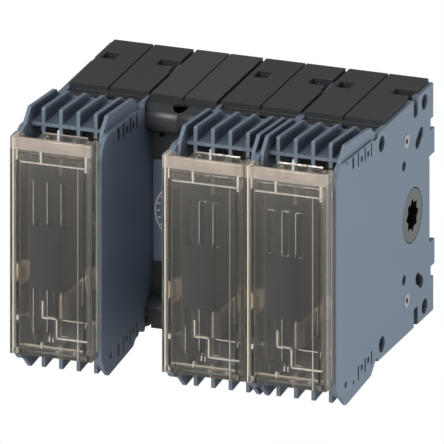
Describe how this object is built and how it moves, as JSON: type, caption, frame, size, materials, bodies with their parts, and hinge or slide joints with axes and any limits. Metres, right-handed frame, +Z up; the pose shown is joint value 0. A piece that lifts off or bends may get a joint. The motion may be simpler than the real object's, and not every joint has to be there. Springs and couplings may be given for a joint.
{
  "type": "fuse switch disconnector",
  "caption": "Fuse switch disconnector with narrow finned pole modules, clear hinged fuse covers, a black rotary mechanism module, side and front drive hubs.",
  "frame": {"origin": "middle of the flat seat in the rail recess on the back", "axes": "+Z up, +X to the right, front faces -Y, rail seat faces +Y"},
  "size_m": [0.1428, 0.1276, 0.1158],
  "materials": {
    "housing_blue_grey": "fine textured",
    "moulding_black": "fine textured",
    "cover_clear": "clear, smoky",
    "contact_silvered_copper": "silver plated",
    "rotor_black": "smooth",
    "hub_grey": "smooth",
    "gear_natural": "smooth",
    "zinc_steel": "zinc plated",
    "rivet_aluminium": "satin"
  },
  "bodies": {
    "frame": {"pole_1_left_housing": "housing_blue_grey", "pole_1_right_housing": "housing_blue_grey", "pole_2_left_housing": "housing_blue_grey", "pole_2_right_housing": "housing_blue_grey", "pole_3_left_housing": "housing_blue_grey", "pole_3_right_housing": "housing_blue_grey", "pole_1_left_chamber": "moulding_black", "pole_1_right_chamber": "moulding_black", "pole_2_left_chamber": "moulding_black", "pole_2_right_chamber": "moulding_black", "pole_3_left_chamber": "moulding_black", "pole_3_right_chamber": "moulding_black", "pole_1_line_terminal": "contact_silvered_copper", "pole_1_load_terminal": "contact_silvered_copper", "pole_2_line_terminal": "contact_silvered_copper", "pole_2_load_terminal": "contact_silvered_copper", "pole_3_line_terminal": "contact_silvered_copper", "pole_3_load_terminal": "contact_silvered_copper", "pole_1_upper_jaw": "contact_silvered_copper", "pole_1_lower_jaw": "contact_silvered_copper", "pole_2_upper_jaw": "contact_silvered_copper", "pole_2_lower_jaw": "contact_silvered_copper", "pole_3_upper_jaw": "contact_silvered_copper", "pole_3_lower_jaw": "contact_silvered_copper", "mechanism_left_shell": "moulding_black", "mechanism_right_shell": "moulding_black", "terminal_clamps": "zinc_steel", "clamp_screws": "zinc_steel", "through_rivets": "rivet_aluminium", "mechanism_front_plate": "housing_blue_grey", "detent_spring": "zinc_steel", "rail_spring": "zinc_steel"},
    "switch_shaft": {"switch_shaft": "zinc_steel", "shaft_bevel_gear": "gear_natural", "shaft_collar": "gear_natural", "left_side_hub": "hub_grey", "right_side_hub": "hub_grey", "pole_1_rotor": "rotor_black", "pole_2_rotor": "rotor_black", "pole_3_rotor": "rotor_black", "pole_1_upper_bridge": "contact_silvered_copper", "pole_1_lower_bridge": "contact_silvered_copper", "pole_2_upper_bridge": "contact_silvered_copper", "pole_2_lower_bridge": "contact_silvered_copper", "pole_3_upper_bridge": "contact_silvered_copper", "pole_3_lower_bridge": "contact_silvered_copper"},
    "front_drive": {"front_drive_hub": "hub_grey", "front_bevel_gear": "gear_natural"},
    "rail_slider": {"rail_slider": "moulding_black"},
    "cover_1": {"pole_1_fuse_cover": "cover_clear"},
    "cover_2": {"pole_2_fuse_cover": "cover_clear"},
    "cover_3": {"pole_3_fuse_cover": "cover_clear"}
  },
  "joints": [
    {"name": "cover_1_hinge", "type": "hinge", "parent": "frame", "child": "cover_1", "pos_m": [-0.05175, -0.1015, -0.047], "axis": [1, 0, 0], "range_deg": [0, 90]},
    {"name": "cover_2_hinge", "type": "hinge", "parent": "frame", "child": "cover_2", "pos_m": [0.01525, -0.1015, -0.047], "axis": [1, 0, 0], "range_deg": [0, 90]},
    {"name": "cover_3_hinge", "type": "hinge", "parent": "frame", "child": "cover_3", "pos_m": [0.05175, -0.1015, -0.047], "axis": [1, 0, 0], "range_deg": [0, 90]},
    {"name": "switch_turn", "type": "hinge", "parent": "frame", "child": "switch_shaft", "pos_m": [0, -0.0206, 0], "axis": [1, 0, 0], "range_deg": [0, 90], "deforming": ["detent_spring"]},
    {"name": "front_drive_turn", "type": "hinge", "parent": "frame", "child": "front_drive", "pos_m": [-0.01825, -0.0206, 0], "axis": [0, 1, 0], "range_deg": [0, 90]},
    {"name": "rail_slider_slide", "type": "slide", "parent": "frame", "child": "rail_slider", "axis": [0, 0, -1], "range_m": [0, 0.003], "deforming": ["rail_spring"]}
  ],
  "couplings": [
    {"joint": "front_drive_turn", "follows": "switch_turn", "ratio": 1}
  ]
}
